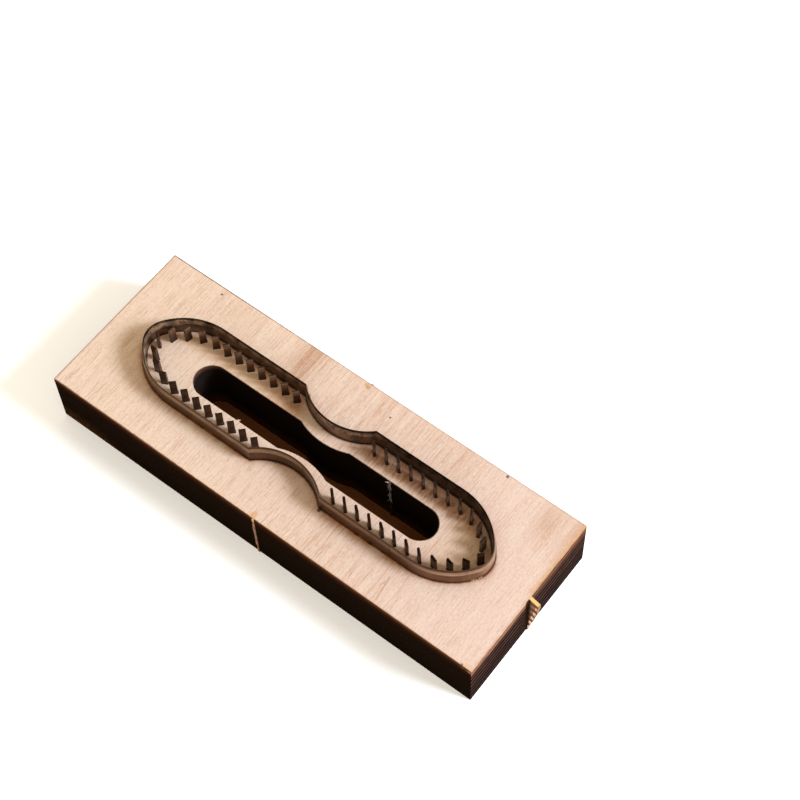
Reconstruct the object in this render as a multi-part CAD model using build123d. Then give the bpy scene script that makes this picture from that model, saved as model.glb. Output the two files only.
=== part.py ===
from build123d import *
import math
import os

# Leather cutting die: a plywood board with a bent steel knife and stitch teeth standing in it.
# Millimetres. The origin is the middle of the board's underside, +X along it, +Y across, +Z up.

# Board
board_length = 130.0
board_width = 46.5
board_thickness = 18.0
ply_count = 11
ply_thickness = board_thickness / ply_count

# Knife: a strip of steel rule whose centreline is two straight sides, two pointed ends and a waist
knife_height = 23.8
knife_thickness = 0.71
knife_half_width = 11.1
straight_end_x = 37.5
left_straight_end_x = 37.15
flank_radius = 17.5
nose_radius = 6.0
waist_half_width = 6.6
waist_corner_x = 11.0
strip_joint_x = 32.3
strip_joint_gap = 0.1

# Both faces of the knife are ground twice: a long bevel, then a short one up to the edge
long_bevel_start = 3.6
long_bevel_end = 5.1
long_bevel_half_thickness = 0.2
edge_half_thickness = 0.03

# Bridges of uncut wood across the knife's kerf, with notches in the knife above them
bridge_x = 24.5
bridge_width = 3.4
notch_clearance = 0.1

# The laser leaves the top of each kerf a little wider than the steel in it
mouth_clearance = 0.1
mouth_depth = 0.6

# Teeth: flat blades along a line inside the knife, each turned by the same slant from it
tooth_height = 23.5
tooth_width = 1.75
tooth_thickness = 0.71
tooth_inset = 2.95
tooth_slant = 45.0
tooth_first_x = 11.95
tooth_pitch = 3.73
teeth_per_straight = 8
teeth_per_end = 7
tooth_bevel_start = 5.0
tooth_edge_half_thickness = 0.08

# The tooth line isn't quite centred in the knife: how far its two ends and its middle line are off
right_teeth_shift_x = 0.4
left_teeth_shift_x = 0.05
teeth_shift_y = 0.1

# Teeth that stand turned from the rest, by their number, in degrees
turned_teeth = {3: 5, 5: 8, 7: 5, 9: 8, 11: 5, 36: -15, 38: -10}

# Finger slot that lets the cut piece be pushed out, through the board between the teeth
slot_half_length = 37.3
slot_half_width = 4.65
slot_waist_half_width = 3.07
slot_centre_y = -0.2

# Remains of the small tabs that held the board and the slot's waste in the sheet
tab_width = 0.55
near_tab_length = 0.25
far_tab_length = 0.25
slot_tab_x = 20.2
far_slot_tab_length = 0.35
near_slot_tab_length = 0.35

# The tab on the right end broke ply by ply, and its plies sag; their lengths go from the lowest up
end_tab_width = 0.9
end_tab_ply_lengths = [0.3, 0.3, 0.8, 0.5, 1.45, 0.9, 2.0, 1.4, 2.6, 1.9, 2.8]
end_tab_sag = 0.45

# Chipped top veneer at the near right corner, as distances back from the corner
chip_plan = [(4.1, 0), (3.3, 0.35), (1.5, 0.5), (0.55, 0.9), (0.3, 2.4), (0, 3.0), (0, 0)]
chip_depth = 0.8

# Worked out from the sizes above
waist_rise = knife_half_width - waist_half_width
waist_radius = (waist_corner_x**2 + waist_rise**2) / (2 * waist_rise)
waist_centre_y = waist_half_width + waist_radius
flank_angle = math.acos((flank_radius - knife_half_width) / (flank_radius - nose_radius))
flank_centre_y = knife_half_width - flank_radius
nose_run = (flank_radius - nose_radius) * math.sin(flank_angle)
through = 2 * board_thickness


def arc_point(centre_x, centre_y, radius, angle):
    """Point of an arc on the near side, by its angle from straight towards the viewer."""
    return (centre_x + radius * math.sin(angle), -(centre_y + radius * math.cos(angle)))


def outline_half(offset, flank_start_x):
    """Right half of the knife's centreline, grown outward by offset."""
    half_width = knife_half_width + offset
    flank = flank_radius + offset
    nose = nose_radius + offset
    waist = waist_radius - offset
    corner_angle = math.acos((waist_centre_y - half_width) / waist)
    corner = (waist * math.sin(corner_angle), -half_width)

    def waist_point(angle):
        return (waist * math.sin(angle), waist * math.cos(angle) - waist_centre_y)

    def flank_point(angle):
        return arc_point(flank_start_x, flank_centre_y, flank, angle)

    def nose_point(angle):
        return arc_point(flank_start_x + nose_run, 0, nose, angle)

    nose_angle = (flank_angle + math.pi / 2) / 2
    quarter = Curve() + [
        ThreePointArc(waist_point(0), waist_point(corner_angle / 2), corner),
        Line(corner, (flank_start_x, -half_width)),
        ThreePointArc(flank_point(0), flank_point(flank_angle / 2), flank_point(flank_angle)),
        ThreePointArc(nose_point(flank_angle), nose_point(nose_angle), nose_point(math.pi / 2)),
    ]
    return quarter + mirror(quarter, Plane.XZ)


def knife_outline(offset):
    """Plan of the knife's centreline, grown outward by offset; its left end is bent a little shorter."""
    right = outline_half(offset, straight_end_x)
    left = mirror(outline_half(offset, left_straight_end_x), Plane.YZ)
    return make_face(right + left)


def ring(half_thickness, bottom, top):
    """Upright band along the knife's centreline, from bottom to top."""
    outer = extrude(knife_outline(half_thickness), top - bottom)
    inner = extrude(knife_outline(-half_thickness), top - bottom)
    return Pos(0, 0, bottom) * (outer - inner)


def tapered_ring(low, high):
    """Band whose half thickness changes from low to high, each given as (height, half thickness)."""
    sides = []
    for side in (1, -1):
        sections = [Pos(0, 0, z) * knife_outline(side * half) for z, half in (low, high)]
        sides.append(loft(sections, ruled=True))
    outer, inner = sides
    return outer - inner


def bridges(height):
    """Blocks over the four bridges, up to the given height."""
    block = Box(bridge_width, 3 * knife_thickness, height, align=(Align.CENTER, Align.CENTER, Align.MIN))
    return [Pos(x, y, 0) * block for x in (-bridge_x, bridge_x) for y in (-knife_half_width, knife_half_width)]


def knife_strips():
    """The two strips of the knife, which meet end to end on both long sides."""
    body_half = knife_thickness / 2
    body_top = (board_thickness + long_bevel_start, body_half)
    long_bevel_top = (board_thickness + long_bevel_end, long_bevel_half_thickness)
    edge = (knife_height, edge_half_thickness)
    loop = ring(body_half, 0, body_top[0])
    loop += tapered_ring(body_top, long_bevel_top)
    loop += tapered_ring(long_bevel_top, edge)
    for block in bridges(board_thickness + notch_clearance):
        loop -= block
    end_side = Box(
        board_length, board_width, through, align=(Align.MIN, Align.CENTER, Align.MIN)
    )
    end_strip = loop & (Pos(strip_joint_x + strip_joint_gap / 2, 0, 0) * end_side)
    long_strip = loop - (Pos(strip_joint_x - strip_joint_gap / 2, 0, 0) * end_side)
    return long_strip, end_strip


def row_place(distance):
    """Point of the tooth line and its direction, by distance from the middle of the near side."""
    half_width = knife_half_width - tooth_inset
    flank = flank_radius - tooth_inset
    nose = nose_radius - tooth_inset
    flank_end = straight_end_x + flank * flank_angle
    row_half_length = flank_end + nose * (math.pi / 2 - flank_angle)
    beyond_nose = distance > row_half_length
    if beyond_nose:
        distance = 2 * row_half_length - distance
    if distance <= straight_end_x:
        heading = 0.0
        x, y = distance, -half_width
    elif distance <= flank_end:
        heading = (distance - straight_end_x) / flank
        x, y = arc_point(straight_end_x, flank_centre_y, flank, heading)
    else:
        heading = flank_angle + (distance - flank_end) / nose
        x, y = arc_point(straight_end_x + nose_run, 0, nose, heading)
    if beyond_nose:
        return x, -y, 180 - math.degrees(heading)
    return x, y, math.degrees(heading)


def tooth_distances():
    """Distances along the tooth line: a straight row, the teeth round the end and the far row."""
    flank = flank_radius - tooth_inset
    nose = nose_radius - tooth_inset
    row_length = 2 * (straight_end_x + flank * flank_angle + nose * (math.pi / 2 - flank_angle))
    near_row = [tooth_first_x + i * tooth_pitch for i in range(teeth_per_straight)]
    end_pitch = (row_length - 2 * near_row[-1]) / (teeth_per_end + 1)
    end_row = [near_row[-1] + (i + 1) * end_pitch for i in range(teeth_per_end)]
    far_row = [row_length - distance for distance in reversed(near_row)]
    return near_row + end_row + far_row


def tooth_places():
    """Places of the teeth, round the right end and then, mirrored, round the left end."""
    right, left = [], []
    for distance in tooth_distances():
        x, y, heading = row_place(distance)
        angle = heading - tooth_slant
        right.append((x + right_teeth_shift_x, y + teeth_shift_y, angle))
        left.append((-x + left_teeth_shift_x, y + teeth_shift_y, 180 - angle))
    numbered = enumerate(right + left, start=1)
    return [(x, y, angle + turned_teeth.get(number, 0)) for number, (x, y, angle) in numbered]


def tooth():
    """One blade, upright at the origin, its width along X."""
    half = tooth_thickness / 2
    right = [
        (half, 0),
        (half, board_thickness + tooth_bevel_start),
        (tooth_edge_half_thickness, tooth_height),
    ]
    left = [(-y, z) for y, z in reversed(right)]
    section = Plane.YZ * Polygon(*right, *left, align=None)
    return extrude(section, tooth_width / 2, both=True)


def finger_slot():
    """Plan of the slot: round ended, drawn in at the middle like the knife."""
    end_centre_x = slot_half_length - slot_half_width
    plan = Rectangle(2 * end_centre_x, 2 * slot_half_width)
    for side in (-1, 1):
        plan += Pos(side * end_centre_x, 0) * Circle(slot_half_width)
    waist = waist_centre_y - slot_waist_half_width
    for side in (-1, 1):
        plan -= Pos(0, side * waist_centre_y) * Circle(waist)
    return Pos(0, slot_centre_y) * plan


def upright_block(x_low, x_high, y_low, y_high, z_low, z_high):
    """Box between the given faces."""
    block = Box(x_high - x_low, y_high - y_low, z_high - z_low, align=Align.MIN)
    return Pos(x_low, y_low, z_low) * block


def end_tab_ply(bottom, length):
    """One broken ply of the tab on the right end, from the given height; all but the lowest sag."""
    edge_x = board_length / 2
    top = bottom + ply_thickness
    sag = min(end_tab_sag * length, bottom)
    outline = [
        (edge_x - 1.0, bottom),
        (edge_x, bottom),
        (edge_x + length, bottom - sag),
        (edge_x + length, top - sag),
        (edge_x, top),
        (edge_x - 1.0, top),
    ]
    return extrude(Plane.XZ * Polygon(*outline, align=None), end_tab_width / 2, both=True)


def tabs():
    """Broken tabs on the board's edges and in the finger slot."""
    half = tab_width / 2
    root = 1.0
    edge_y = board_width / 2
    slot_far_y = slot_centre_y + slot_half_width
    slot_near_y = slot_centre_y - slot_half_width
    top = board_thickness
    pieces = [
        upright_block(-half, half, -edge_y - near_tab_length, -edge_y + root, 0, top),
        upright_block(-half, half, edge_y - root, edge_y + far_tab_length, 0, top),
        upright_block(
            slot_tab_x - half, slot_tab_x + half, slot_far_y - far_slot_tab_length, slot_far_y + root, 0, top
        ),
        upright_block(
            -slot_tab_x - half, -slot_tab_x + half, slot_near_y - root, slot_near_y + near_slot_tab_length, 0, top
        ),
    ]
    for i, length in enumerate(end_tab_ply_lengths):
        pieces.append(end_tab_ply(i * ply_thickness, length))
    return pieces


def corner_chip():
    """Top veneer lost round the near right corner."""
    x, y = board_length / 2, -board_width / 2
    plan = Polygon(*[(x - back, y + in_from_side) for back, in_from_side in chip_plan], align=None)
    return Pos(0, 0, board_thickness - chip_depth) * extrude(plan, chip_depth)


def die_board():
    """Plywood board with its finger slot, kerfs, tooth slots and tabs."""
    board = extrude(Rectangle(board_length, board_width), board_thickness)
    board -= extrude(finger_slot(), board_thickness)
    for piece in tabs():
        board += piece
    board -= corner_chip()
    kerf = ring(knife_thickness / 2, 0, board_thickness)
    kerf += ring(knife_thickness / 2 + mouth_clearance, board_thickness - mouth_depth, board_thickness)
    for block in bridges(board_thickness):
        kerf -= block
    board -= kerf
    lift = board_thickness - mouth_depth
    slot = upright_block(
        -tooth_width / 2, tooth_width / 2, -tooth_thickness / 2, tooth_thickness / 2, 0, board_thickness
    )
    slot += upright_block(
        -tooth_width / 2 - mouth_clearance,
        tooth_width / 2 + mouth_clearance,
        -tooth_thickness / 2 - mouth_clearance,
        tooth_thickness / 2 + mouth_clearance,
        lift,
        board_thickness,
    )
    board -= [Pos(x, y, 0) * Rot(0, 0, angle) * slot for x, y, angle in tooth_places()]
    return board


def main():
    os.makedirs("parts", exist_ok=True)
    long_strip, end_strip = knife_strips()
    nodes = {
        "die_board": die_board(),
        "knife_long_strip": long_strip,
        "knife_end_strip": end_strip,
    }
    blade = tooth()
    for number, (x, y, angle) in enumerate(tooth_places(), start=1):
        nodes[f"tooth_{number:02d}"] = Pos(x, y, 0) * Rot(0, 0, angle) * blade
    for name, shape in nodes.items():
        export_step(shape, f"parts/{name}.step")
        print(name, len(shape.solids()), round(shape.volume, 2), shape.bounding_box().size)


main()
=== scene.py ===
import math
import random

import bpy
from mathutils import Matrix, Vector


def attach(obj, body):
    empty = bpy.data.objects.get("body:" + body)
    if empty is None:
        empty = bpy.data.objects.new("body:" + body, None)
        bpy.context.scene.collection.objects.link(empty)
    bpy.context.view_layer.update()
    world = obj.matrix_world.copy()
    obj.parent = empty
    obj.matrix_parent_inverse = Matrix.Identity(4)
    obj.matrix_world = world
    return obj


# The leather cutting die: finishes for its board, knife and teeth, and the torn wood and fibres on it.
# Sizes are in millimetres up to the last step of each mesh, in the frame of the part.

MM = 0.001

# Brightness of a flat white surface in the studio's light, where a screen's white is 1.
LIT = 1.45

BOARD_TOP = 18.0
BOARD_HALF_LENGTH = 65.0
BOARD_HALF_WIDTH = 23.25
PLY_COUNT = 11
PLY = BOARD_TOP / PLY_COUNT

KNIFE_HALF_WIDTH = 11.1
KNIFE_STRAIGHT_END = 37.5
KNIFE_FLANK_RADIUS = 17.5
KNIFE_NOSE_RADIUS = 6.0
WAIST_RADIUS = 15.69
WAIST_CENTRE = 22.29
KNIFE_FOOT = BOARD_TOP
LONG_BEVEL_START = 21.6
EDGE_BEVEL_START = 23.1
TOOTH_BEVEL_START = 23.0
TOOTH_TOP = 23.5

# The broken tabs: the right end's, with the depth and reach of its longer plies, and the slot's two.
END_TAB_Y = -1.1
END_TAB_PLIES = ((0.8, 2.8), (4.1, 2.6), (7.4, 2.0), (10.6, 1.45), (13.9, 0.8))
LONGEST_SHRED = 2.7
TAB_SAG = 0.45
SLOT_FAR_TAB_X = 20.2
SLOT_NEAR_TAB_X = -20.2

# A sliver of torn wood bends at the ends of this many equal steps.
SLIVER_STEPS = 4

SLOT_END_CENTRE = 32.65
SLOT_HALF_WIDTH = 4.65
SLOT_CENTRE_Y = -0.2
SLOT_WAIST_RADIUS = 19.22

# Half sizes of the bench's brown patch under the board.
COVERED_HALF_LENGTH = 62.0
COVERED_HALF_WIDTH = 20.0

# Darker growth bands of the face veneer: middle x and y, half sizes, strength.
FIGURE_BANDS = (
    (-16.5, 20.0, 4.4, 12.0, 0.68),
    (13.0, 20.0, 7.0, 8.0, 0.12),
    (30.0, 19.0, 5.0, 7.0, 0.12),
    (60.0, 19.0, 6.0, 6.0, 0.4),
    (-45.0, 19.0, 6.0, 6.0, 0.12),
)

# Scorched places at the knife's foot: middle x and y, half sizes.
SCORCH_MARKS = (
    (11.2, -11.9, 0.5, 0.6),
    (22.3, -11.55, 0.7, 0.22),
    (26.3, -11.55, 0.9, 0.28),
    (-26.2, -11.55, 0.7, 0.22),
)

# Small dark specks on the veneer: x, y and radius.
SPECKS = (
    (42.1, 22.6, 0.4),
    (9.3, 18.5, 0.28),
    (-47.3, 21.2, 0.3),
)

# Middles of the veneer's single marks: a patch browned by laser fumes and painted shade, sooty dark with a
# painted shadow at a tooth's foot, a reddish scorch with a painted shadow at the knife's right nose, a
# chipped corner, a notch and the roots of two tabs.
SMOKE_AND_SHADE_PATCH = (-12.6, 5.8)
TOOTH_FOOT_SOOT_AND_SHADOW = (-12.7, 7.0)
NOSE_SCORCH_AND_SHADOW = (55.0, -0.5)
CHIPPED_CORNER = (63.6, -22.7)
CORNER_NOTCH = (62.2, -23.1)
NEAR_TAB_ROOT = (-0.6, -22.6)
FAR_TAB_ROOT = (-0.8, 22.4)

# The splinters beside the knife's right end: x, y, turn in degrees and length.
FOOT_SPLINTERS = (
    (52.0, -4.2, 30, 1.3),
    (52.5, -3.4, 75, 0.8),
    (51.4, -4.9, 15, 0.9),
    (52.7, -2.9, 60, 0.6),
    (51.9, -4.6, 110, 0.6),
)

# The studio: places and sizes in metres, turns in degrees, the camera's lens and sensor in millimetres.
FLOOR_REACH = 20.0
FLOOR_LEVEL = -0.0001
SKY_TINT = (1.0, 0.88, 0.70, 1.0)
SKY_STRENGTH = 0.86
KEY_PLACE = (1.385, 0.488, 1.059)
KEY_SIZE = 0.52
KEY_POWER = 52.5
KEY_TINT = (0.75, 0.85, 1.0)
CAMERA_PLACE = (0.1593, -0.1593, 0.4362)
CAMERA_TURN = (29.569, 1.145, 37.493)
CAMERA_LENS = 87.25
CAMERA_SENSOR = 36.0


def colour(red, green, blue):
    """Paint that looks so, from 0 to 255 on a screen, where it lies flat in the studio's light."""
    def linear(value):
        value /= 255
        return value / 12.92 if value <= 0.04045 else ((value + 0.055) / 1.055) ** 2.4
    return (linear(red) / LIT, linear(green) / LIT, linear(blue) / LIT, 1.0)


class Signal:
    """A node's output; arithmetic on a number adds Math nodes."""

    def __init__(self, paint, socket):
        self.paint = paint
        self.socket = socket

    def math(self, operation, *values):
        return self.paint.node("ShaderNodeMath", {"operation": operation}, values, "Value")

    def __add__(self, other):
        return self.math("ADD", self, other)

    def __radd__(self, other):
        return self.math("ADD", other, self)

    def __sub__(self, other):
        return self.math("SUBTRACT", self, other)

    def __rsub__(self, other):
        return self.math("SUBTRACT", other, self)

    def __mul__(self, other):
        return self.math("MULTIPLY", self, other)

    def __rmul__(self, other):
        return self.math("MULTIPLY", other, self)

    def __truediv__(self, other):
        return self.math("DIVIDE", self, other)

    def __pow__(self, other):
        return self.math("POWER", self, other)

    def __abs__(self):
        return self.math("ABSOLUTE", self)

    def least(self, other):
        return self.math("MINIMUM", self, other)

    def most(self, other):
        return self.math("MAXIMUM", self, other)

    def above(self, limit):
        return self.math("GREATER_THAN", self, limit)

    def rise(self, low, high):
        """0 below low, 1 above high, smooth between them; it falls where low is above high."""
        sockets = {"Value": self, "From Min": low, "From Max": high}
        settings = {"interpolation_type": "SMOOTHSTEP"}
        if low > high:
            sockets.update({"From Min": high, "From Max": low, "To Min": 1.0, "To Max": 0.0})
        return self.paint.node("ShaderNodeMapRange", settings, sockets, "Result")


class Paint:
    """A node material being made."""

    def __init__(self, name):
        self.material = bpy.data.materials.new(name)
        self.material.use_nodes = True
        self.tree = self.material.node_tree
        self.tree.nodes.clear()
        point = self.node("ShaderNodeTexCoord", {}, {}, "Object")
        self.place = self.node(
            "ShaderNodeVectorMath", {"operation": "SCALE"}, {"Vector": point, "Scale": 1000.0}, "Vector"
        )

    def node(self, kind, settings, sockets, output):
        """Adds a node with its settings, then its sockets' values or links; gives the named outputs."""
        node = self.tree.nodes.new(kind)
        for name, value in settings.items():
            if name == "stops":
                self.set_stops(node.color_ramp, value)
            else:
                setattr(node, name, value)
        pairs = sockets.items() if isinstance(sockets, dict) else enumerate(sockets)
        for key, value in pairs:
            socket = self.find(node.inputs, key)
            if isinstance(value, Signal):
                self.tree.links.new(value.socket, socket)
            else:
                socket.default_value = value
        if isinstance(output, tuple):
            return [Signal(self, self.find(node.outputs, name)) for name in output]
        return Signal(self, self.find(node.outputs, output)) if output else None

    @staticmethod
    def find(sockets, key):
        if isinstance(key, int):
            return sockets[key]
        return next(s for s in sockets if key in (s.identifier, s.name))

    @staticmethod
    def set_stops(ramp, stops):
        while len(ramp.elements) < len(stops):
            ramp.elements.new(1.0)
        for element, (position, shade) in zip(ramp.elements, stops):
            element.position = position
            element.color = shade

    def split(self, vector):
        return self.node("ShaderNodeSeparateXYZ", {}, {"Vector": vector}, ("X", "Y", "Z"))

    def facing(self):
        """Parts of the surface's direction along X, Y and Z."""
        return self.split(self.node("ShaderNodeNewGeometry", {}, {}, "True Normal"))

    def stretch(self, x, y, z):
        """The place on the part, scaled along each axis."""
        return self.node(
            "ShaderNodeVectorMath", {"operation": "MULTIPLY"}, {0: self.place, 1: (x, y, z)}, "Vector"
        )

    def noise(self, x, y, z, detail=2.0, roughness=0.5):
        """Cloudy noise with so many features per millimetre along each axis."""
        sockets = {"Vector": self.stretch(x, y, z), "Scale": 1.0}
        sockets.update({"Detail": detail, "Roughness": roughness})
        return self.node("ShaderNodeTexNoise", {}, sockets, "Fac")

    def mix(self, share, first, second, kind="MIX"):
        """Colours blended, with that share of the second."""
        sockets = {"Factor_Float": share, "A_Color": first, "B_Color": second}
        settings = {"data_type": "RGBA", "blend_type": kind}
        return self.node("ShaderNodeMix", settings, sockets, "Result_Color")

    def shades(self, value, *stops):
        return self.node("ShaderNodeValToRGB", {"stops": stops}, {"Fac": value}, "Color")

    def bump(self, height, depth):
        """Normal of a surface that rises by depth millimetres where height goes from 0 to 1."""
        sockets = {"Height": height, "Distance": depth * MM, "Strength": 1.0}
        return self.node("ShaderNodeBump", {}, sockets, "Normal")

    def surface(self, shade, roughness, **fixed):
        """Ends the material with a Principled shader; fixed names other sockets, with _ for a space."""
        sockets = {"Base Color": shade, "Roughness": roughness}
        sockets.update({name.replace("_", " "): value for name, value in fixed.items()})
        shader = self.node("ShaderNodeBsdfPrincipled", {}, sockets, "BSDF")
        self.node("ShaderNodeOutputMaterial", {}, {"Surface": shader}, None)
        return self.material


def hypotenuse(x, y):
    squares = x * x + y * y
    return squares.math("SQRT", squares)


def knife_distance(x, y):
    """Distance outside the knife's centreline, negative inside it."""
    along, across = abs(x), abs(y)
    side = across - KNIFE_HALF_WIDTH
    flank_y = KNIFE_HALF_WIDTH - KNIFE_FLANK_RADIUS
    from_flank = along - KNIFE_STRAIGHT_END
    above_flank = across - flank_y
    flank = hypotenuse(from_flank, above_flank) - KNIFE_FLANK_RADIUS
    spread = KNIFE_FLANK_RADIUS - KNIFE_NOSE_RADIUS
    angle = math.acos(-flank_y / spread)
    nose = hypotenuse(from_flank - spread * math.sin(angle), across) - KNIFE_NOSE_RADIUS
    in_nose = (from_flank * math.cos(angle) - above_flank * math.sin(angle)).above(0.0)
    in_flank = from_flank.above(0.0)
    end = nose * in_nose + flank * (1 - in_nose)
    outline = end * in_flank + side * (1 - in_flank)
    waist = WAIST_RADIUS - hypotenuse(along, across - WAIST_CENTRE)
    return outline.most(waist)


def slot_distance(x, y):
    """Distance outside the finger slot."""
    across = y - SLOT_CENTRE_Y
    beyond = (abs(x) - SLOT_END_CENTRE).most(0.0)
    outline = hypotenuse(beyond, across) - SLOT_HALF_WIDTH
    waist = SLOT_WAIST_RADIUS - hypotenuse(x, abs(across) - WAIST_CENTRE)
    return outline.most(waist)


def spot(x, y, centre_x, centre_y, radius_x, radius_y, soft=0.6):
    """1 inside a soft-edged ellipse on the board."""
    far = hypotenuse((x - centre_x) / radius_x, (y - centre_y) / radius_y)
    return far.rise(1 + soft / 2, 1 - soft / 2)


def veneer(paint, x, y):
    """Colour of the birch face veneer, whose grain runs across the board, and its height for a bump."""
    middle = x.rise(-16.0, 6.0) * x.rise(46.0, 34.0)
    figured = 0.45 + 0.2 * middle + 0.2 * x.rise(-8.0, -20.0)
    streaks = paint.noise(0.55, 0.03, 0.5, 3.0, 0.6)
    lines = paint.noise(3.1, 0.13, 1.0, 2.0, 0.65)
    fibres = paint.noise(3.0, 1.0, 1.0, 2.0, 0.7)
    veins = paint.noise(0.8, 0.02, 0.3, 2.0)
    pores = paint.noise(3.6, 0.7, 1.0, 1.0)
    shade = paint.mix(x.rise(-50.0, 45.0), colour(244, 214, 187), colour(238, 208, 189))
    shade = paint.mix(middle * 0.45, shade, colour(234, 200, 175))
    band = 0.0
    for centre_x, centre_y, wide, deep, strength in FIGURE_BANDS:
        here = spot(x, y, centre_x, centre_y, wide, deep, 1.7) * strength
        band = here.most(band)
    shade = paint.mix(band * (0.6 + 0.8 * streaks.rise(0.35, 0.65)), shade, colour(204, 156, 124))
    shade = paint.mix(streaks.rise(0.5, 0.75) * 0.35 * figured, shade, colour(208, 160, 130))
    shade = paint.mix(streaks.rise(0.5, 0.3) * 0.25, shade, colour(252, 232, 214))
    shade = paint.mix(lines.rise(0.51, 0.66) * 0.55 * figured, shade, colour(184, 132, 104))
    shade = paint.mix(lines.rise(0.5, 0.3) * 0.45 * figured, shade, colour(255, 238, 224))
    shade = paint.mix(fibres.rise(0.5, 0.74) * 0.34, shade, colour(192, 148, 116))
    shade = paint.mix(fibres.rise(0.5, 0.28) * 0.34, shade, colour(255, 240, 222))
    shade = paint.mix(abs(veins - 0.5).rise(0.014, 0.0) * 0.45 * middle, shade, colour(190, 130, 104))
    vein_x = 35.5 + (y + 15.4) * -0.13
    vein = abs(x - vein_x).rise(0.3, 0.05) * abs(y + 19.0).rise(4.2, 2.8)
    shade = paint.mix(vein * 0.5, shade, colour(176, 122, 98))
    dark_pores = pores.rise(0.68, 0.78)
    shade = paint.mix(dark_pores * 0.35, shade, colour(150, 104, 78))
    return shade, fibres * 0.6 + lines * 0.4 - dark_pores * 0.3


def smoke_and_shade(paint, x, y, outside):
    """How strongly laser fumes, and painted shade from the knife and teeth, have browned the veneer beside
    the knife.
    """
    patches = paint.noise(0.25, 0.25, 0.2, 3.0, 0.6)
    near_side = y.rise(5.0, -5.0)
    left_end = x.rise(-48.0, -54.0)
    right_end = x.rise(28.0, 42.0)
    beyond = outside.above(0.0)
    along_straight = abs(abs(x) - 23.0).rise(16.0, 10.0) * y.rise(-9.0, -10.5)
    in_waist = abs(x).rise(13.0, 6.0)
    far_row = y.rise(3.0, 7.0)
    far_right = far_row * x.rise(6.0, 12.0)
    by_side = 0.1 + 0.2 * near_side + 0.24 * left_end
    outer = outside.rise(4.2, 0.2) ** 1.5 * by_side * (1 - 0.5 * in_waist)
    outer = outer + outside.rise(3.0, 0.6) * along_straight * (0.2 + 0.2 * x.rise(-14.0, 6.0))
    outer = outer + outside.rise(2.0, 0.4) * near_side * 0.4 + outside.rise(3.0, 1.0) * far_row * 0.2
    inner = outside.rise(-5.5, -0.2) ** 1.2 * (0.85 - 0.5 * near_side) * (1 - 0.8 * in_waist)
    inner = inner + outside.rise(-11.0, -2.0) * right_end * 0.32
    inner = inner + outside.rise(-6.8, -4.5) * far_right * 0.5
    # A patch of laser fumes and painted shade by the far teeth left of the waist.
    inner = inner + spot(x, y, *SMOKE_AND_SHADE_PATCH, 3.2, 2.0, 1.4) * 0.65
    strength = outer * beyond + inner.least(0.85) * (1 - beyond)
    return strength * (0.4 + 0.6 * patches.rise(0.3, 0.6))


def edge_grain(paint, x, y, depth):
    """Scorched ply edges of the short ends, from the top veneer down, darkened with char and painted shade
    beside the broken tab.
    """
    right_end = x.above(0.0)
    wave = paint.noise(0.3, 0.1, 0.3, 3.0, 0.6)
    broken = paint.noise(0.5, 0.5, 2.5, 4.0, 0.7)
    level = (depth + (wave - 0.5) * 1.3) / BOARD_TOP
    dark, light, dim = colour(34, 23, 20), colour(106, 75, 62), colour(78, 58, 51)
    stops = [(0.0, colour(250, 206, 174)), (0.03, colour(196, 146, 116)), (0.05, colour(98, 60, 42)),
             (0.08, colour(182, 130, 102)), (0.12, colour(116, 76, 58)), (0.16, colour(164, 116, 94)),
             (0.195, colour(52, 33, 27))]
    glue_lines = ((0.27, light), (0.4, light), (0.53, light), (0.66, dim), (0.79, dim), (0.91, dim))
    for line, gleam in glue_lines:
        stops += [(line - 0.03, dark), (line, gleam), (line + 0.03, dark)]
    far_lines = paint.shades(
        level,
        (0.0, colour(244, 190, 146)),
        (0.025, colour(180, 124, 88)),
        (0.05, colour(84, 50, 32)),
        (0.085, colour(126, 80, 54)),
        (0.14, colour(132, 88, 66)),
        (0.165, colour(66, 42, 34)),
        (0.2, colour(100, 68, 56)),
        (0.24, colour(44, 31, 27)),
    )
    on_far_half = right_end * y.rise(-0.5, 0.5) * depth.rise(4.8, 4.2)
    lines = paint.mix(on_far_half, paint.shades(level, *stops), far_lines)
    shade = paint.mix(broken.rise(0.45, 0.65) * 0.6, lines, colour(32, 24, 22))
    shade = paint.mix(broken.rise(0.38, 0.26) * 0.5, shade, colour(108, 82, 72))
    # Char and painted shade in the recess beside the broken tab.
    char_and_shade_beside_tab = right_end * abs(y - END_TAB_Y).rise(0.75, 0.45)
    return paint.mix(char_and_shade_beside_tab * 0.85, shade, colour(46, 28, 18))


def broken_plies(paint, depth):
    """Torn wood at the broken tabs: a yellow face veneer over paler and darker plies."""
    torn = paint.noise(2.0, 2.0, 1.2, 4.0, 0.7)
    turn = depth * (math.pi / PLY)
    pale_ply = turn.math("COSINE", turn).rise(-0.5, 0.3)
    shade = paint.mix(pale_ply, colour(128, 80, 54), colour(216, 168, 134))
    shade = paint.mix(torn.rise(0.35, 0.7) * 0.5, shade, colour(232, 194, 158))
    shade = paint.mix(torn.rise(0.42, 0.28) * 0.6, shade, colour(122, 76, 50))
    return paint.mix(depth.rise(1.5, 1.0), shade, colour(226, 186, 120))


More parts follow.
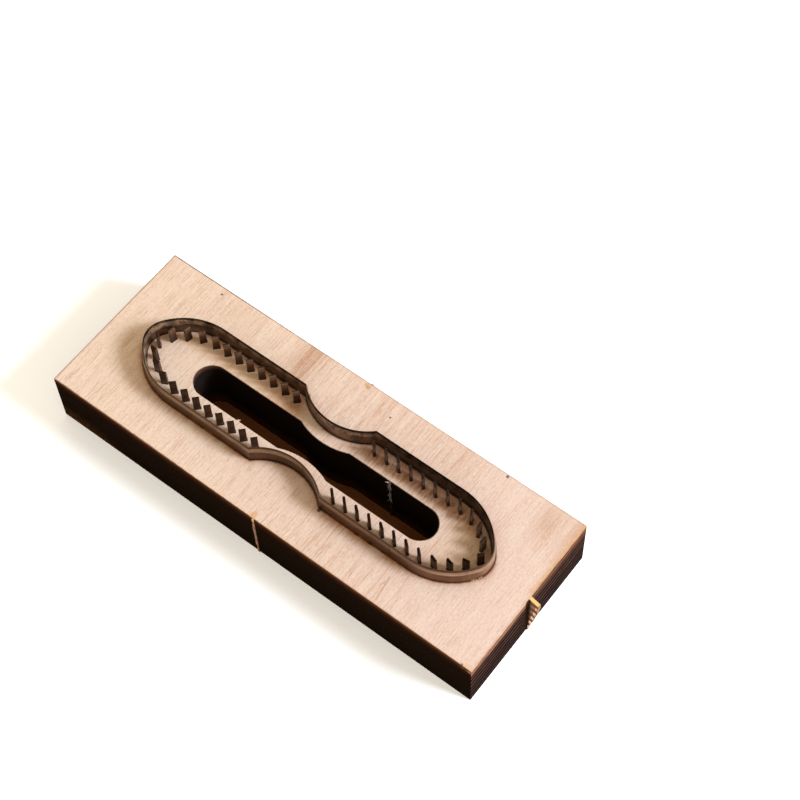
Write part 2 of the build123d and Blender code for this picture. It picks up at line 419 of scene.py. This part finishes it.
def smoked_and_shaded(paint, x, y, outside, top):
    """The veneer browned by laser fumes and painted shade; sooty streaks with painted tooth shadows at the
    teeth and one tooth's foot; a painted warm shade tint inside; brown grain hairlines at the right end.
    """
    far_right = y.rise(3.0, 7.0) * x.rise(6.0, 12.0)
    smoke_and_shade_brown = paint.mix(far_right, colour(180, 116, 64), colour(184, 122, 80))
    top = paint.mix(smoke_and_shade(paint, x, y, outside) * 0.8, top, smoke_and_shade_brown)
    streak_noise = paint.noise(1.5, 0.3, 0.5, 3.0, 0.7)
    at_teeth = outside.rise(-8.0, -4.2) * outside.rise(-1.4, -2.6)
    # Sooty streaks and painted tooth shadows along the grain between the far teeth and the slot on the
    # right.
    soot_and_tooth_shadow = at_teeth * far_right * streak_noise.rise(0.42, 0.6)
    top = paint.mix(soot_and_tooth_shadow * 0.55, top, colour(136, 66, 36))
    within = outside.rise(-0.5, -1.5)
    # Painted warm shade tint inside on the far left.
    far_left_warm_shade = x.rise(-7.0, -12.0) * y.rise(3.0, 5.5) * within
    top = paint.mix(far_left_warm_shade * 0.3, top, colour(230, 174, 116))
    # Sooty dark and a painted shadow at a far tooth's foot.
    soot_and_shadow_at_foot = spot(x, y, *TOOTH_FOOT_SOOT_AND_SHADOW, 2.4, 1.3, 1.4) * (0.4 + 0.6 * streak_noise.rise(0.4, 0.6))
    top = paint.mix(soot_and_shadow_at_foot * 0.5, top, colour(92, 56, 34))
    in_right_end = x.rise(36.0, 44.0) * within
    # Painted warm shade tint inside the right end; then brown hairlines along the grain there.
    top = paint.mix(in_right_end * 0.3, top, colour(228, 188, 132))
    return paint.mix(in_right_end * streak_noise.rise(0.5, 0.62) * 0.25, top, colour(150, 92, 58))


def toasted(paint, x, y, from_edge, ragged, top):
    """The veneer toasted by the laser near its edges, most at the far half of the right end."""
    rim = (from_edge + (ragged - 0.5) * 0.7).rise(0.7, 0.05)
    end = (BOARD_HALF_LENGTH - x + (ragged - 0.5) * 1.6).rise(1.9, 0.1) * y.rise(-1.0, 2.0)
    top = paint.mix(rim * 0.2, top, colour(208, 150, 96))
    return paint.mix(end * 0.55, top, colour(214, 162, 110))


def rim_burn(x, from_edge, ragged):
    """How strongly the veneer's rim is blackened: wider on the left, weaker at right and on the ends."""
    left_rim = 0.14 * x.rise(-15.0, -45.0) + 0.1 * x.rise(-64.0, -64.6)
    burn = (from_edge + (ragged - 0.5) * 0.3 - left_rim).rise(0.22, 0.04)
    return burn * (1 - 0.5 * abs(x).rise(64.0, 64.6)) * (1 - 0.35 * x.rise(0.0, 12.0))


def marked(paint, x, y, outside, top):
    """The veneer with its specks, scorch marks, a reddish scorch with painted shadow at the knife's right
    nose, chipped corner and the roots of its broken tabs.
    """
    for speck_x, speck_y, radius in SPECKS:
        top = paint.mix(spot(x, y, speck_x, speck_y, radius, radius) * 0.8, top, colour(84, 60, 50))
    for mark_x, mark_y, wide, deep in SCORCH_MARKS:
        top = paint.mix(spot(x, y, mark_x, mark_y, wide, deep, 0.8) * 0.85, top, colour(66, 36, 22))
    # Reddish scorch and painted shadow beside the knife's right nose.
    glow = outside.rise(1.6, 0.4) * spot(x, y, *NOSE_SCORCH_AND_SHADOW, 2.0, 4.5, 0.8)
    top = paint.mix(glow * 0.5, top, colour(176, 98, 64))
    top = paint.mix(spot(x, y, *CHIPPED_CORNER, 1.6, 0.5, 1.4) * 0.4, top, colour(236, 190, 126))
    top = paint.mix(spot(x, y, *CORNER_NOTCH, 0.35, 0.3, 0.6) * 0.7, top, colour(74, 66, 46))
    tab_root = spot(x, y, *NEAR_TAB_ROOT, 0.8, 1.3, 1.0).most(spot(x, y, *FAR_TAB_ROOT, 1.0, 0.5, 1.0))
    return paint.mix(tab_root * 0.6, top, colour(224, 160, 96))


def long_side(paint, x, depth, char, ragged, speckle):
    """Blackened ply edges of the long sides, brown under the veneer and low down on the left."""
    jagged = depth + (char - 0.5) * 1.2
    level = jagged + 0.3 * x.rise(-35.0, -50.0) - 0.35 * x.rise(0.0, 20.0)
    shade = paint.shades(
        level / BOARD_TOP,
        (0.0, colour(120, 78, 48)),
        (0.03, colour(86, 50, 28)),
        (0.09, colour(52, 29, 15)),
        (0.2, colour(30, 19, 12)),
        (0.93, colour(24, 16, 11)),
        (1.0, colour(60, 34, 20)),
    )
    shade = paint.mix(speckle.rise(0.5, 0.75) * 0.5, shade, colour(54, 38, 28))
    low_left = x.rise(-42.0, -60.0) * depth.rise(11.0, 17.0)
    return paint.mix(low_left * (0.3 + 0.7 * ragged.rise(0.4, 0.6)) * 0.6, shade, colour(84, 54, 28))


def slot_wall(paint, x, depth, char, speckle):
    """Black walls of the finger slot: a painted reddish highlight at the top and painted grey sheen specks
    at the left end, painted brown bounce light at the foot.
    """
    # Painted reddish highlight at the top of the walls, and painted grey sheen specks, at the left end.
    lip_highlight = (depth + (char - 0.5) * 2.5).rise(2.2, 0.4) * x.rise(-30.0, -36.0)
    left_end_sheen = x.rise(-33.0, -36.0) * speckle.rise(0.5, 0.7)
    shade = paint.mix(left_end_sheen * 0.5, colour(40, 29, 22), colour(58, 60, 70))
    shade = paint.mix(lip_highlight * 0.8, shade, colour(116, 76, 60))
    # Painted brown bounce light towards the foot.
    return paint.mix(depth.rise(12.5, 18.0) * 0.7, shade, colour(110, 66, 34))


def plywood():
    """Laser-cut birch board: veneer above browned by fumes and painted shade, blackened walls, torn plies
    at tabs and corner.
    """
    paint = Paint("plywood")
    x, y, z = paint.split(paint.place)
    face_x, face_y, face_z = paint.facing()
    depth = BOARD_TOP - z
    outside = knife_distance(x, y)
    from_slot = slot_distance(x, y)
    from_edge = (BOARD_HALF_LENGTH - abs(x)).least(BOARD_HALF_WIDTH - abs(y))
    ragged = paint.noise(0.9, 0.9, 0.5, 3.0)
    char = paint.noise(0.4, 0.4, 0.6, 4.0, 0.6)
    speckle = paint.noise(1.6, 1.6, 1.6, 3.0, 0.75)

    rim = rim_burn(x, from_edge, ragged)
    kerf = (abs(outside) + (ragged - 0.5) * 0.4).rise(0.95, 0.45)
    far_slot_edge = (from_slot + (ragged - 0.5) * 0.2).rise(0.3, 0.05) * y.rise(-4.0, -1.0)
    rim_brown, kerf_brown, slot_brown = colour(98, 60, 38), colour(84, 52, 34), colour(60, 36, 22)
    plain_veneer, fibres = veneer(paint, x, y)
    top = smoked_and_shaded(paint, x, y, outside, plain_veneer)
    top = toasted(paint, x, y, from_edge, ragged, top)
    top = paint.mix(rim * 0.8, top, rim_brown)
    top = paint.mix(far_slot_edge * 0.9, top, slot_brown)
    top = paint.mix(kerf * 0.8, top, kerf_brown)
    top = marked(paint, x, y, outside, top)
    underside = paint.mix(rim * 0.8, plain_veneer, rim_brown)
    underside = paint.mix(kerf * 0.8, underside, kerf_brown)
    top = paint.mix(face_z.rise(0.1, -0.1), top, underside)

    end_face = abs(face_x).above(0.7)
    side = long_side(paint, x, depth, char, ragged, speckle)
    wall = paint.mix(end_face, side, edge_grain(paint, x, y, depth))
    wall = paint.mix(from_edge.rise(0.3, 0.7), wall, slot_wall(paint, x, depth, char, speckle))

    past_edge = from_edge.rise(-0.02, -0.06)
    past_slot = from_slot.rise(-0.02, -0.06)
    on_end_tab = x.above(BOARD_HALF_LENGTH + 0.03)
    on_side_tab = past_edge * (1 - on_end_tab)
    laser_cut = on_end_tab * abs(face_y).above(0.7) * (0.35 + 0.65 * x.rise(66.0, 65.2))
    laser_cut = laser_cut.most(on_side_tab * end_face)
    chipped = (from_edge.rise(1.2, 0.9) * face_z.above(0.5)) * depth.above(0.3)
    plies = broken_plies(paint, depth)
    plies = paint.mix(on_side_tab * depth.rise(0.8, 4.0) * 0.75, plies, colour(142, 100, 80))
    plies = paint.mix(past_slot * 0.85, plies, colour(52, 42, 36))
    wall = paint.mix(past_edge.most(past_slot), wall, plies)
    wall = paint.mix(laser_cut * 0.92, wall, colour(40, 25, 17))
    top = paint.mix(past_edge.most(chipped), top, plies)

    is_top = abs(face_z).above(0.5)
    shade = paint.mix(is_top, wall, top)
    roughness = 0.66 + (char - 0.5) * 0.15
    relief = fibres * is_top + (char * 1.2) * (1 - is_top)
    return paint.surface(shade, roughness, Normal=paint.bump(relief, 0.05), Specular_IOR_Level=0.0)


def knife_steel():
    """Blued rule: dull body, ground bevel and dark cutting edge, each painted apart inside and outside,
    with painted reflections: lighter at both ends, on the left flank and inside the waist, darker inside
    on the right.
    """
    paint = Paint("knife_steel")
    x, y, z = paint.split(paint.place)
    outside = knife_distance(x, y)
    inner = outside.rise(0.02, -0.02)
    # Painted reflections: darker inside on the right, lighter inside the waist; a painted highlight at the
    # lit right end.
    inner_right_dark_reflection = x.rise(8.0, 20.0)
    inner_waist_reflection = abs(x - 3.0).rise(8.0, 3.0)
    lit_end = x.rise(49.0, 53.5) * (0.4 + 0.6 * y.rise(-4.5, -1.5))
    clouds = paint.noise(0.22, 0.22, 0.35, 4.0, 0.65)
    rolled = paint.noise(0.5, 0.5, 5.0, 3.0, 0.6)
    scuffs = paint.noise(1.2, 1.2, 0.8, 4.0, 0.7)
    tooth_reflection_blots = paint.noise(0.45, 0.45, 0.6, 3.0, 0.6)

    # Painted reflection lighter on the left flank's body; painted glint on the far left flank's bevel and
    # crest.
    left_flank_reflection = x.rise(-38.0, -49.0)
    far_left_glint = x.rise(-43.0, -49.0)
    body = paint.mix(x.rise(38.0, 45.0), colour(112, 72, 42), colour(134, 92, 58))
    body = paint.mix(z.rise(19.0, 21.2) * 0.45, body, colour(66, 36, 12))
    body = paint.mix(abs(x).rise(10.0, 16.0) * z.rise(19.4, 18.1) * 0.9, body, colour(176, 112, 62))
    body = paint.mix(left_flank_reflection, body, colour(212, 164, 118))
    body = paint.mix(lit_end, body, colour(208, 170, 138))
    body = paint.mix(lit_end * z.rise(19.8, 18.4) * 0.7, body, colour(104, 62, 34))
    inner_body = paint.mix(inner_waist_reflection, colour(134, 102, 80), colour(154, 112, 84))
    inner_body = paint.mix(inner_right_dark_reflection, inner_body, colour(84, 62, 46))
    body = paint.mix(inner, body, inner_body)

    # The bevel's lighter right nose is a painted highlight.
    bevel = paint.mix(x.rise(8.0, 16.0), colour(166, 134, 104), colour(146, 114, 86))
    bevel = paint.mix(x.rise(38.0, 48.0), bevel, colour(224, 188, 156))
    bevel = paint.mix(x.rise(38.0, 44.0) * z.rise(21.8, 23.2) * 0.6, bevel, colour(96, 62, 44))
    bevel = paint.mix(x.rise(-38.0, -43.0) * 0.5, bevel, colour(120, 86, 56))
    bevel = paint.mix(far_left_glint, bevel, colour(228, 192, 152))
    inner_bevel = paint.mix(inner_waist_reflection, colour(178, 146, 116), colour(222, 186, 152))
    inner_bevel = paint.mix(x.rise(-38.0, -48.0), inner_bevel, colour(206, 172, 140))
    inner_bevel = paint.mix(inner_right_dark_reflection, inner_bevel, colour(104, 84, 66))
    bevel = paint.mix(inner, bevel, inner_bevel)

    crest = paint.mix(lit_end, colour(72, 40, 20), colour(98, 70, 52))
    crest = paint.mix(far_left_glint, crest, colour(190, 148, 110))
    crest = paint.mix(abs(x).rise(10.0, 5.0), crest, colour(46, 24, 12))
    crest = paint.mix(inner, crest, colour(24, 13, 8))

    bevel_from = LONG_BEVEL_START - 0.7 * inner * x.rise(-44.0, -50.0)
    height = z + (scuffs - 0.5) * 0.15
    in_bevel = (height - bevel_from).rise(-0.08, 0.08)
    in_crest = (height - EDGE_BEVEL_START).rise(-0.08, 0.08)
    shade = paint.mix(in_bevel, body, bevel)
    seam = abs(z - bevel_from).rise(0.2, 0.05)
    shade = paint.mix(seam * 0.4, shade, colour(40, 24, 15))
    # Cloudy mottling of the bluing with painted blurry reflections in its light patches; inside, painted
    # reflections of the teeth in dark and olive blots.
    shade = paint.mix(clouds.rise(0.45, 0.7) * 0.4, shade, colour(52, 36, 26))
    shade = paint.mix(clouds.rise(0.42, 0.25) * 0.3, shade, colour(190, 158, 128))
    shade = paint.mix(tooth_reflection_blots.rise(0.5, 0.6) * inner * 0.65, shade, colour(44, 36, 28))
    shade = paint.mix(tooth_reflection_blots.rise(0.46, 0.36) * inner * 0.25, shade, colour(112, 104, 84))
    shade = paint.mix(rolled.rise(0.5, 0.8) * 0.3, shade, colour(60, 42, 30))
    shade = paint.mix(in_crest * 0.85, shade, crest)
    # Darker towards the foot, least on the outer straight stretches.
    dark_foot = (0.5 - 0.42 * abs(x).rise(12.0, 17.0) * (1 - inner)) * (z - KNIFE_FOOT).rise(0.7, 0.0)
    shade = paint.mix(dark_foot, shade, colour(34, 20, 12))
    roughness = 0.32 + (scuffs - 0.5) * 0.3
    metallic = 0.75 + (clouds - 0.5) * 0.3
    relief = rolled * 0.4 + scuffs * 0.6
    return paint.surface(shade, roughness, Metallic=metallic, Normal=paint.bump(relief, 0.02))


def tooth_steel():
    """Small dark blades: darkest on the near right with a painted lit middle, painted shade low down and
    painted light towards their tops on the far side, and a painted highlight across the far right ones.
    """
    paint = Paint("tooth_steel")
    x, y, z = paint.split(paint.place)
    clouds = paint.noise(0.35, 0.35, 0.35, 3.0, 0.65)
    scuffs = paint.noise(1.6, 1.6, 1.0, 4.0, 0.7)
    height = z + (scuffs - 0.5) * 0.4
    far_left = y.rise(-2.0, 4.0) * x.rise(2.0, -4.0)
    far_right = y.rise(-2.0, 4.0) * x.rise(-4.0, 2.0)
    near_right = y.rise(2.0, -4.0) * x.rise(4.0, 16.0)
    shade = paint.mix(height.rise(20.8, 21.6), colour(92, 56, 32), colour(110, 76, 54))
    # Far left: painted shade low down and painted light towards the tops.
    shade = paint.mix(far_left * height.rise(20.6, 19.4), shade, colour(66, 40, 24))
    shade = paint.mix(far_left * height.rise(21.2, 22.4), shade, colour(142, 110, 86))
    shade = paint.mix(far_left * clouds.rise(0.55, 0.7) * 0.5, shade, colour(96, 62, 78))
    # Far right: lighter, with painted shade low down and a painted highlight at mid height.
    shade = paint.mix(far_right * 0.8, shade, colour(128, 102, 84))
    shade = paint.mix(far_right * height.rise(20.6, 19.6) * 0.8, shade, colour(62, 40, 26))
    gleam = abs(height - 21.0).rise(0.9, 0.3)
    shade = paint.mix(far_right * gleam * 0.5, shade, colour(158, 150, 148))
    # Near right: darker, with a painted lit middle on the teeth short of the right end.
    shade = paint.mix(near_right * 0.8, shade, colour(70, 38, 20))
    lit_middle = near_right * x.rise(41.0, 37.0) * abs(height - 20.8).rise(1.7, 0.7)
    shade = paint.mix(lit_middle * 0.7, shade, colour(140, 88, 56))
    shade = paint.mix(clouds.rise(0.45, 0.7) * 0.45, shade, colour(54, 32, 20))
    shade = paint.mix(clouds.rise(0.42, 0.25) * 0.3, shade, colour(122, 110, 80))
    shade = paint.mix(scuffs.rise(0.5, 0.75) * 0.3, shade, colour(48, 28, 16))
    in_bevel = height.rise(TOOTH_BEVEL_START - 0.05, TOOTH_BEVEL_START + 0.05)
    shade = paint.mix(in_bevel * 0.4 * (1 - far_left), shade, colour(36, 24, 18))
    shade = paint.mix((z - TOOTH_TOP).rise(-0.22, -0.05) * 0.8, shade, colour(30, 19, 13))
    roughness = 0.36 + (scuffs - 0.5) * 0.3
    return paint.surface(shade, roughness, Metallic=0.7, Normal=paint.bump(scuffs, 0.02))


def raw_wood(name, pale, dark):
    """Freshly torn wood fibre."""
    paint = Paint(name)
    fibre = paint.noise(3.0, 3.0, 3.0, 3.0, 0.7)
    shade = paint.mix(fibre.rise(0.35, 0.7), pale, dark)
    return paint.surface(shade, 0.7, Normal=paint.bump(fibre, 0.05))


def bench_top():
    """Pale floor, brown only where the board covers it, as seen down the finger slot."""
    paint = Paint("bench_top")
    x, y, _ = paint.split(paint.place)
    covered = (COVERED_HALF_LENGTH - abs(x)).rise(0.0, 2.0) * (COVERED_HALF_WIDTH - abs(y)).rise(0.0, 2.0)
    mottle = paint.noise(0.02, 0.02, 0.02, 2.0)
    pale = paint.mix(mottle * 0.5, (0.93, 0.93, 0.93, 1.0), (0.88, 0.88, 0.88, 1.0))
    shade = paint.mix(covered, pale, colour(140, 84, 44))
    glow = paint.mix(covered, (1.0, 1.0, 1.0, 1.0), (0.0, 0.0, 0.0, 1.0))
    return paint.surface(shade, 0.9, Emission_Color=glow, Emission_Strength=0.28, Specular_IOR_Level=0.1)


def assign(piece, material):
    piece.data.materials.clear()
    piece.data.materials.append(material)


def new_piece(name, corners, faces, material):
    """A mesh piece from corners in millimetres, riding on the part."""
    mesh = bpy.data.meshes.new(name)
    mesh.from_pydata([Vector(corner) * MM for corner in corners], [], faces)
    mesh.validate()
    piece = bpy.data.objects.new(name, mesh)
    bpy.context.scene.collection.objects.link(piece)
    assign(piece, material)
    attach(piece, "root")
    return piece


def add_sliver(corners, faces, path, width, thickness, chance):
    """Adds a tapering four-sided sliver of wood along the path to a mesh under way."""
    rings = []
    for index, point in enumerate(path):
        point = Vector(point)
        before = Vector(path[max(index - 1, 0)])
        after = Vector(path[min(index + 1, len(path) - 1)])
        run = (after - before).normalized()
        sideways = run.cross(Vector((0, 0, 1)))
        if sideways.length < 0.2:
            sideways = run.cross(Vector((0, 1, 0)))
        sideways.normalize()
        over = sideways.cross(run).normalized()
        share = index / (len(path) - 1)
        size = (1 - share ** 2) * chance.uniform(0.8, 1.1) + 0.08
        ring = []
        for a, b in ((-1, -1), (1, -1), (1, 1), (-1, 1)):
            ring.append(len(corners))
            corners.append(point + sideways * (a * width / 2 * size) + over * (b * thickness / 2 * size))
        rings.append(ring)
    for ring, following in zip(rings, rings[1:]):
        for i in range(4):
            j = (i + 1) % 4
            faces.append((ring[i], ring[j], following[j], following[i]))
    faces.append(tuple(reversed(rings[0])))
    faces.append(tuple(rings[-1]))


def wander(start, step, spread, chance):
    """Points of a slightly wavering line."""
    points = [Vector(start)]
    for _ in range(SLIVER_STEPS):
        drift = Vector([chance.uniform(-spread, spread) for _ in range(3)])
        points.append(points[-1] + Vector(step) + drift)
    return points


def end_tab_shreds(material):
    """Torn fibres at the ends of the broken tab's longer plies."""
    chance = random.Random(4)
    corners, faces = [], []
    for depth, reach in END_TAB_PLIES:
        for _ in range(7):
            back = chance.uniform(0.5, 1.1)
            start_x = BOARD_HALF_LENGTH + reach - back
            height = BOARD_TOP - depth - TAB_SAG * (reach - back)
            start = (start_x, chance.uniform(-0.38, 0.38), height + chance.uniform(-0.5, 0.6))
            length = min(back + chance.uniform(-0.1, 0.3), BOARD_HALF_LENGTH + LONGEST_SHRED - start_x)
            run = length / SLIVER_STEPS
            step = (run, chance.uniform(-0.03, 0.03), -TAB_SAG * run + chance.uniform(-0.04, 0.04))
            path = wander(start, step, 0.02, chance)
            add_sliver(corners, faces, path, chance.uniform(0.12, 0.3), chance.uniform(0.15, 0.35), chance)
    return new_piece("end_tab_shreds", corners, faces, material)


def slot_fibres(material):
    """Pale fibres that hang down the slot's far wall at its broken tab."""
    chance = random.Random(9)
    corners, faces = [], []
    wall_y = SLOT_CENTRE_Y + SLOT_HALF_WIDTH - 0.35
    for _ in range(26):
        top = chance.uniform(9.0, 17.9) if chance.random() < 0.6 else chance.uniform(15.5, 17.95)
        start = (SLOT_FAR_TAB_X + chance.uniform(-0.27, 0.27), wall_y - 0.03, top)
        fall = chance.uniform(0.7, 2.4)
        step = (chance.uniform(-0.15, 0.2), chance.uniform(-0.12, 0.01), -fall / SLIVER_STEPS)
        path = wander(start, step, 0.06, chance)
        add_sliver(corners, faces, path, chance.uniform(0.06, 0.16), 0.05, chance)
    for _ in range(6):
        start = (SLOT_FAR_TAB_X - 0.2 + chance.uniform(-0.35, 0.2), wall_y - 0.02, 17.9)
        step = (chance.uniform(-0.22, -0.05), chance.uniform(-0.1, -0.02), chance.uniform(-0.12, 0.0))
        path = wander(start, step, 0.04, chance)
        add_sliver(corners, faces, path, 0.18, 0.08, chance)
    return new_piece("slot_fibres", corners, faces, material)


def near_slot_tuft(material):
    """Small pale tuft where the slot's near wall held a tab."""
    chance = random.Random(12)
    corners, faces = [], []
    for _ in range(9):
        start = (SLOT_NEAR_TAB_X + chance.uniform(-0.35, 0.35), -4.6, 17.9 + chance.uniform(-0.3, 0.05))
        step = (chance.uniform(-0.1, 0.12), chance.uniform(0.04, 0.12), chance.uniform(-0.05, 0.08))
        path = wander(start, step, 0.03, chance)
        add_sliver(corners, faces, path, 0.2, 0.1, chance)
    return new_piece("near_slot_tuft", corners, faces, material)


def knife_foot_splinters(material):
    """Yellow splinters of veneer lifted beside the knife near the right end."""
    chance = random.Random(21)
    corners, faces = [], []
    for x, y, turn, length in FOOT_SPLINTERS:
        angle = math.radians(turn)
        run = length / SLIVER_STEPS
        step = (run * math.cos(angle), run * math.sin(angle), 0.05)
        path = wander((x, y, BOARD_TOP + 0.03), step, 0.03, chance)
        add_sliver(corners, faces, path, 0.28, 0.12, chance)
    return new_piece("knife_foot_splinters", corners, faces, material)


def far_tab_splinter(material):
    """Lifted sliver of veneer beside the tab on the far side."""
    chance = random.Random(30)
    corners, faces = [], []
    for shift in (0.0, 0.35):
        start = (-1.0 + shift, 22.0 - shift, BOARD_TOP)
        path = wander(start, (0.3, 0.1, 0.05), 0.02, chance)
        add_sliver(corners, faces, path, 0.3, 0.12, chance)
    return new_piece("far_tab_splinter", corners, faces, material)


def near_tab_fibres(material):
    """Wavering torn fibres that run down the broken tab on the near side."""
    chance = random.Random(37)
    corners, faces = [], []
    for _ in range(26):
        top = chance.uniform(2.5, 17.6)
        start = (-0.35 + chance.uniform(-0.3, 0.25), -BOARD_HALF_WIDTH - 0.1, top)
        fall = min(chance.uniform(1.5, 4.0), top - 0.3)
        step = (chance.uniform(-0.06, 0.06), 0.0, -fall / SLIVER_STEPS)
        path = wander(start, step, 0.04, chance)
        add_sliver(corners, faces, path, chance.uniform(0.12, 0.26), 0.1, chance)
    return new_piece("near_tab_fibres", corners, faces, material)


def dress_frame(nodes):
    """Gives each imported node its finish."""
    board_paint = plywood()
    knife_paint = knife_steel()
    tooth_paint = tooth_steel()
    for name, node in nodes.items():
        if name == "die_board":
            assign(node, board_paint)
        elif name.startswith("knife"):
            assign(node, knife_paint)
        else:
            assign(node, tooth_paint)


def add_floor():
    mesh = bpy.data.meshes.new("floor")
    ends = ((-1, -1), (1, -1), (1, 1), (-1, 1))
    corners = [(FLOOR_REACH * a, FLOOR_REACH * b, FLOOR_LEVEL) for a, b in ends]
    mesh.from_pydata(corners, [], [(0, 1, 2, 3)])
    floor = bpy.data.objects.new("floor", mesh)
    bpy.context.scene.collection.objects.link(floor)
    assign(floor, bench_top())


def add_light(name, place, size, power, tint):
    """A square soft light that points at the part."""
    data = bpy.data.lights.new(name, "AREA")
    data.shape = "SQUARE"
    data.size = size
    data.energy = power
    data.color = tint
    light = bpy.data.objects.new(name, data)
    light.location = place
    light.rotation_euler = (-Vector(place)).to_track_quat("-Z", "Y").to_euler()
    bpy.context.scene.collection.objects.link(light)


def add_studio():
    world = bpy.data.worlds.new("studio")
    world.use_nodes = True
    background = world.node_tree.nodes["Background"]
    background.inputs["Color"].default_value = SKY_TINT
    background.inputs["Strength"].default_value = SKY_STRENGTH
    bpy.context.scene.world = world
    add_light("key", KEY_PLACE, KEY_SIZE, KEY_POWER, KEY_TINT)
    bpy.context.scene.view_settings.view_transform = "Standard"


def add_camera():
    data = bpy.data.cameras.new("camera")
    data.sensor_width = CAMERA_SENSOR
    data.lens = CAMERA_LENS
    camera = bpy.data.objects.new("camera", data)
    camera.location = CAMERA_PLACE
    camera.rotation_euler = [math.radians(turn) for turn in CAMERA_TURN]
    bpy.context.scene.collection.objects.link(camera)
    bpy.context.scene.camera = camera


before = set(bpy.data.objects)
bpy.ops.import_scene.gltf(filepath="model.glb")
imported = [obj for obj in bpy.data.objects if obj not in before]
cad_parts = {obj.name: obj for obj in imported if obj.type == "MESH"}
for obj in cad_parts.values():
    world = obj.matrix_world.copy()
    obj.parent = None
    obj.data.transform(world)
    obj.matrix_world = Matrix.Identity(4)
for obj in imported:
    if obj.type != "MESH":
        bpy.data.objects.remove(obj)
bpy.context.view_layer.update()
dress_frame(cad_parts)
pale_wood = raw_wood("torn_wood", colour(236, 206, 150), colour(176, 128, 84))
grey_fibre = raw_wood("torn_fibre", colour(235, 228, 216), colour(150, 138, 124))
tab_fibre = raw_wood("near_tab_fibre", colour(196, 152, 124), colour(120, 84, 64))
end_tab_shreds(pale_wood)
slot_fibres(grey_fibre)
near_slot_tuft(pale_wood)
knife_foot_splinters(pale_wood)
far_tab_splinter(pale_wood)
near_tab_fibres(tab_fibre)
add_floor()
add_studio()
add_camera()
